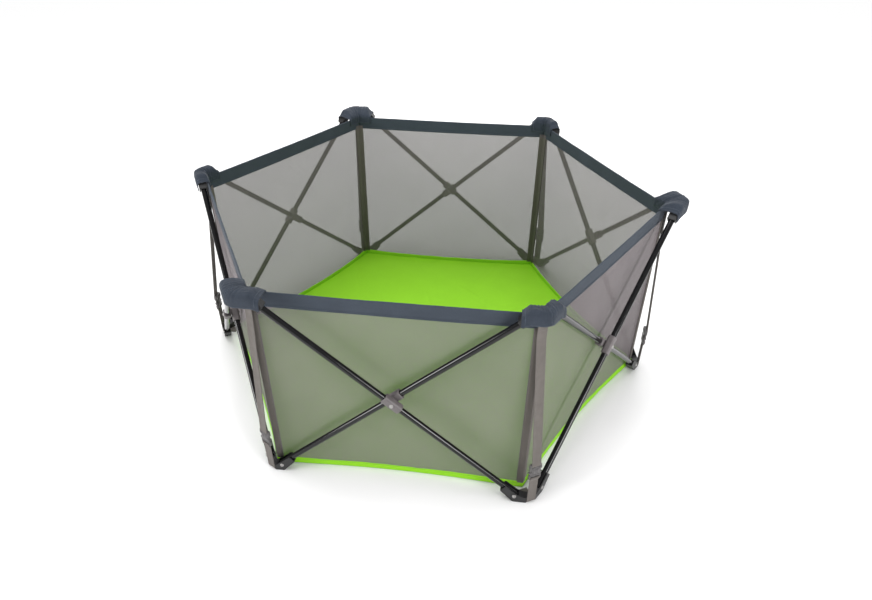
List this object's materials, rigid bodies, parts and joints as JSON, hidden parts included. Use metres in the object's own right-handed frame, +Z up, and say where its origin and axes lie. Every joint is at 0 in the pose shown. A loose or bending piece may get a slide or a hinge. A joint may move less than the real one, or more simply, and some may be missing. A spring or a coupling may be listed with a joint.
{
  "type": "travel play yard",
  "caption": "Folding hexagonal play yard: crossed tube legs in moulded corners, see-through mesh walls, fabric rim and corner caps, fabric floor, corner straps with side-release buckles.",
  "frame": {"origin": "middle of the ring, on the ground", "axes": "+Z up, +X from the middle to corner 1, +Y square to two opposite walls"},
  "size_m": [1.4636, 1.2678, 0.591],
  "materials": {
    "black_tube": "gloss",
    "black_plastic": "satin",
    "grey_plastic": "satin",
    "buckle_plastic": "satin",
    "rivet_steel": "brushed",
    "mesh": "matte",
    "navy_fabric": "matte",
    "green_fabric": "satin",
    "webbing": "matte"
  },
  "bodies": {
    "corner_foot_1": {"foot_1": "black_plastic", "foot_rivets_1": "rivet_steel", "mesh_walls": "mesh", "rim_bands": "navy_fabric", "corner_caps": "navy_fabric", "corner_straps": "webbing", "buckle_housings": "buckle_plastic", "buckle_tongues": "buckle_plastic"},
    "corner_foot_2": {"foot_2": "black_plastic", "foot_rivets_2": "rivet_steel"},
    "corner_foot_3": {"foot_3": "black_plastic", "foot_rivets_3": "rivet_steel"},
    "corner_foot_4": {"foot_4": "black_plastic", "foot_rivets_4": "rivet_steel"},
    "corner_foot_5": {"foot_5": "black_plastic", "foot_rivets_5": "rivet_steel"},
    "corner_foot_6": {"foot_6": "black_plastic", "foot_rivets_6": "rivet_steel"},
    "corner_hub_1": {"hub_1": "black_plastic", "hub_rivets_1": "rivet_steel"},
    "corner_hub_2": {"hub_2": "black_plastic", "hub_rivets_2": "rivet_steel"},
    "corner_hub_3": {"hub_3": "black_plastic", "hub_rivets_3": "rivet_steel"},
    "corner_hub_4": {"hub_4": "black_plastic", "hub_rivets_4": "rivet_steel"},
    "corner_hub_5": {"hub_5": "black_plastic", "hub_rivets_5": "rivet_steel"},
    "corner_hub_6": {"hub_6": "black_plastic", "hub_rivets_6": "rivet_steel"},
    "leg_1a": {"leg_tube_1a": "black_tube", "collar_1a": "grey_plastic"},
    "leg_1b": {"leg_tube_1b": "black_tube", "collar_1b": "grey_plastic"},
    "leg_2a": {"leg_tube_2a": "black_tube", "collar_2a": "grey_plastic"},
    "leg_2b": {"leg_tube_2b": "black_tube", "collar_2b": "grey_plastic"},
    "leg_3a": {"leg_tube_3a": "black_tube", "collar_3a": "grey_plastic"},
    "leg_3b": {"leg_tube_3b": "black_tube", "collar_3b": "grey_plastic"},
    "leg_4a": {"leg_tube_4a": "black_tube", "collar_4a": "grey_plastic"},
    "leg_4b": {"leg_tube_4b": "black_tube", "collar_4b": "grey_plastic"},
    "leg_5a": {"leg_tube_5a": "black_tube", "collar_5a": "grey_plastic"},
    "leg_5b": {"leg_tube_5b": "black_tube", "collar_5b": "grey_plastic"},
    "leg_6a": {"leg_tube_6a": "black_tube", "collar_6a": "grey_plastic"},
    "leg_6b": {"leg_tube_6b": "black_tube", "collar_6b": "grey_plastic"},
    "floor_1": {"floor_gore_1": "green_fabric"},
    "floor_2": {"floor_gore_2": "green_fabric"},
    "floor_3": {"floor_gore_3": "green_fabric"},
    "floor_4": {"floor_gore_4": "green_fabric"},
    "floor_5": {"floor_gore_5": "green_fabric"},
    "floor_6": {"floor_gore_6": "green_fabric"}
  },
  "joints": [
    {"name": "fold", "type": "hinge", "parent": "corner_foot_1", "child": "leg_1a", "pos_m": [0.67319, 0.02494, 0.02], "axis": [0.866, 0.5, 0], "range_deg": [0, 42.87], "deforming": ["mesh_walls", "rim_bands", "corner_caps", "corner_straps", "buckle_housings", "buckle_tongues"]},
    {"name": "crossing_1", "type": "hinge", "parent": "leg_1a", "child": "leg_1b", "pos_m": [0.525, 0.30311, 0.295], "axis": [0.866, 0.5, 0], "range_deg": [-85.74, 0]},
    {"name": "leg_1b_to_foot_2", "type": "hinge", "parent": "leg_1b", "child": "corner_foot_2", "pos_m": [0.37681, 0.58128, 0.02], "axis": [0.866, 0.5, 0], "range_deg": [0, 42.87]},
    {"name": "leg_1a_to_hub_2", "type": "hinge", "parent": "leg_1a", "child": "corner_hub_2", "pos_m": [0.35819, 0.57053, 0.57], "axis": [0.866, 0.5, 0], "range_deg": [-42.87, 0]},
    {"name": "foot_2_to_leg_2a", "type": "hinge", "parent": "corner_foot_2", "child": "leg_2a", "pos_m": [0.315, 0.61697, 0.02], "axis": [0, 1, 0], "range_deg": [0, 42.87]},
    {"name": "crossing_2", "type": "hinge", "parent": "leg_2a", "child": "leg_2b", "pos_m": [0, 0.60622, 0.295], "axis": [0, 1, 0], "range_deg": [-85.74, 0]},
    {"name": "leg_2b_to_foot_3", "type": "hinge", "parent": "leg_2b", "child": "corner_foot_3", "pos_m": [-0.315, 0.59547, 0.02], "axis": [0, 1, 0], "range_deg": [0, 42.87]},
    {"name": "leg_2a_to_hub_3", "type": "hinge", "parent": "leg_2a", "child": "corner_hub_3", "pos_m": [-0.315, 0.61697, 0.57], "axis": [0, 1, 0], "range_deg": [-42.87, 0]},
    {"name": "foot_3_to_leg_3a", "type": "hinge", "parent": "corner_foot_3", "child": "leg_3a", "pos_m": [-0.35819, 0.57053, 0.02], "axis": [-0.866, 0.5, 0], "range_deg": [0, 42.87]},
    {"name": "crossing_3", "type": "hinge", "parent": "leg_3a", "child": "leg_3b", "pos_m": [-0.525, 0.30311, 0.295], "axis": [-0.866, 0.5, 0], "range_deg": [-85.74, 0]},
    {"name": "leg_3b_to_foot_4", "type": "hinge", "parent": "leg_3b", "child": "corner_foot_4", "pos_m": [-0.69181, 0.03569, 0.02], "axis": [-0.866, 0.5, 0], "range_deg": [0, 42.87]},
    {"name": "leg_3a_to_hub_4", "type": "hinge", "parent": "leg_3a", "child": "corner_hub_4", "pos_m": [-0.67319, 0.02494, 0.57], "axis": [-0.866, 0.5, 0], "range_deg": [-42.87, 0]},
    {"name": "leg_1b_to_hub_1", "type": "hinge", "parent": "leg_1b", "child": "corner_hub_1", "pos_m": [0.69181, 0.03569, 0.57], "axis": [0.866, 0.5, 0], "range_deg": [0, 42.87]},
    {"name": "foot_1_to_leg_6b", "type": "hinge", "parent": "corner_foot_1", "child": "leg_6b", "pos_m": [0.67319, -0.02494, 0.02], "axis": [0.866, -0.5, 0], "range_deg": [-42.87, 0]},
    {"name": "crossing_6", "type": "hinge", "parent": "leg_6b", "child": "leg_6a", "pos_m": [0.525, -0.30311, 0.295], "axis": [0.866, -0.5, 0], "range_deg": [0, 85.74]},
    {"name": "leg_6b_to_hub_6", "type": "hinge", "parent": "leg_6b", "child": "corner_hub_6", "pos_m": [0.35819, -0.57053, 0.57], "axis": [0.866, -0.5, 0], "range_deg": [0, 42.87]},
    {"name": "leg_6a_to_foot_6", "type": "hinge", "parent": "leg_6a", "child": "corner_foot_6", "pos_m": [0.37681, -0.58128, 0.02], "axis": [0.866, -0.5, 0], "range_deg": [-42.87, 0]},
    {"name": "foot_6_to_leg_5b", "type": "hinge", "parent": "corner_foot_6", "child": "leg_5b", "pos_m": [0.315, -0.61697, 0.02], "axis": [0, -1, 0], "range_deg": [-42.87, 0]},
    {"name": "crossing_5", "type": "hinge", "parent": "leg_5b", "child": "leg_5a", "pos_m": [0, -0.60622, 0.295], "axis": [0, -1, 0], "range_deg": [0, 85.74]},
    {"name": "leg_5b_to_hub_5", "type": "hinge", "parent": "leg_5b", "child": "corner_hub_5", "pos_m": [-0.315, -0.61697, 0.57], "axis": [0, -1, 0], "range_deg": [0, 42.87]},
    {"name": "leg_5a_to_foot_5", "type": "hinge", "parent": "leg_5a", "child": "corner_foot_5", "pos_m": [-0.315, -0.59547, 0.02], "axis": [0, -1, 0], "range_deg": [-42.87, 0]},
    {"name": "foot_5_to_leg_4b", "type": "hinge", "parent": "corner_foot_5", "child": "leg_4b", "pos_m": [-0.35819, -0.57053, 0.02], "axis": [-0.866, -0.5, 0], "range_deg": [-42.87, 0]},
    {"name": "crossing_4", "type": "hinge", "parent": "leg_4b", "child": "leg_4a", "pos_m": [-0.525, -0.30311, 0.295], "axis": [-0.866, -0.5, 0], "range_deg": [0, 85.74]},
    {"name": "floor_fold_1", "type": "hinge", "parent": "corner_hub_1", "child": "floor_1", "pos_m": [0.49926, 0.28825, 0.0022], "axis": [-0.5, 0.866, 0], "range_deg": [0, 79.34], "deforming": ["floor_gore_1"]},
    {"name": "floor_fold_2", "type": "hinge", "parent": "corner_hub_2", "child": "floor_2", "pos_m": [0, 0.5765, 0.0022], "axis": [-1, 0, 0], "range_deg": [0, 79.34], "deforming": ["floor_gore_2"]},
    {"name": "floor_fold_3", "type": "hinge", "parent": "corner_hub_3", "child": "floor_3", "pos_m": [-0.49926, 0.28825, 0.0022], "axis": [-0.5, -0.866, 0], "range_deg": [0, 79.34], "deforming": ["floor_gore_3"]},
    {"name": "floor_fold_4", "type": "hinge", "parent": "corner_hub_4", "child": "floor_4", "pos_m": [-0.49926, -0.28825, 0.0022], "axis": [0.5, -0.866, 0], "range_deg": [0, 79.34], "deforming": ["floor_gore_4"]},
    {"name": "floor_fold_5", "type": "hinge", "parent": "corner_hub_5", "child": "floor_5", "pos_m": [0, -0.5765, 0.0022], "axis": [1, 0, 0], "range_deg": [0, 79.34], "deforming": ["floor_gore_5"]},
    {"name": "floor_fold_6", "type": "hinge", "parent": "corner_hub_6", "child": "floor_6", "pos_m": [0.49926, -0.28825, 0.0022], "axis": [0.5, 0.866, 0], "range_deg": [0, 79.34], "deforming": ["floor_gore_6"]}
  ],
  "couplings": [
    {"joint": "crossing_1", "follows": "fold", "ratio": -2},
    {"joint": "leg_1b_to_foot_2", "follows": "fold", "ratio": 1},
    {"joint": "leg_1a_to_hub_2", "follows": "fold", "ratio": -1},
    {"joint": "foot_2_to_leg_2a", "follows": "fold", "ratio": 1},
    {"joint": "crossing_2", "follows": "fold", "ratio": -2},
    {"joint": "leg_2b_to_foot_3", "follows": "fold", "ratio": 1},
    {"joint": "leg_2a_to_hub_3", "follows": "fold", "ratio": -1},
    {"joint": "foot_3_to_leg_3a", "follows": "fold", "ratio": 1},
    {"joint": "crossing_3", "follows": "fold", "ratio": -2},
    {"joint": "leg_3b_to_foot_4", "follows": "fold", "ratio": 1},
    {"joint": "leg_3a_to_hub_4", "follows": "fold", "ratio": -1},
    {"joint": "leg_1b_to_hub_1", "follows": "fold", "ratio": 1},
    {"joint": "foot_1_to_leg_6b", "follows": "fold", "ratio": -1},
    {"joint": "crossing_6", "follows": "fold", "ratio": 2},
    {"joint": "leg_6b_to_hub_6", "follows": "fold", "ratio": 1},
    {"joint": "leg_6a_to_foot_6", "follows": "fold", "ratio": -1},
    {"joint": "foot_6_to_leg_5b", "follows": "fold", "ratio": -1},
    {"joint": "crossing_5", "follows": "fold", "ratio": 2},
    {"joint": "leg_5b_to_hub_5", "follows": "fold", "ratio": 1},
    {"joint": "leg_5a_to_foot_5", "follows": "fold", "ratio": -1},
    {"joint": "foot_5_to_leg_4b", "follows": "fold", "ratio": -1},
    {"joint": "crossing_4", "follows": "fold", "ratio": 2},
    {"joint": "floor_fold_1", "follows": "fold", "ratio": 1.8507},
    {"joint": "floor_fold_2", "follows": "fold", "ratio": 1.8507},
    {"joint": "floor_fold_3", "follows": "fold", "ratio": 1.8507},
    {"joint": "floor_fold_4", "follows": "fold", "ratio": 1.8507},
    {"joint": "floor_fold_5", "follows": "fold", "ratio": 1.8507},
    {"joint": "floor_fold_6", "follows": "fold", "ratio": 1.8507}
  ]
}
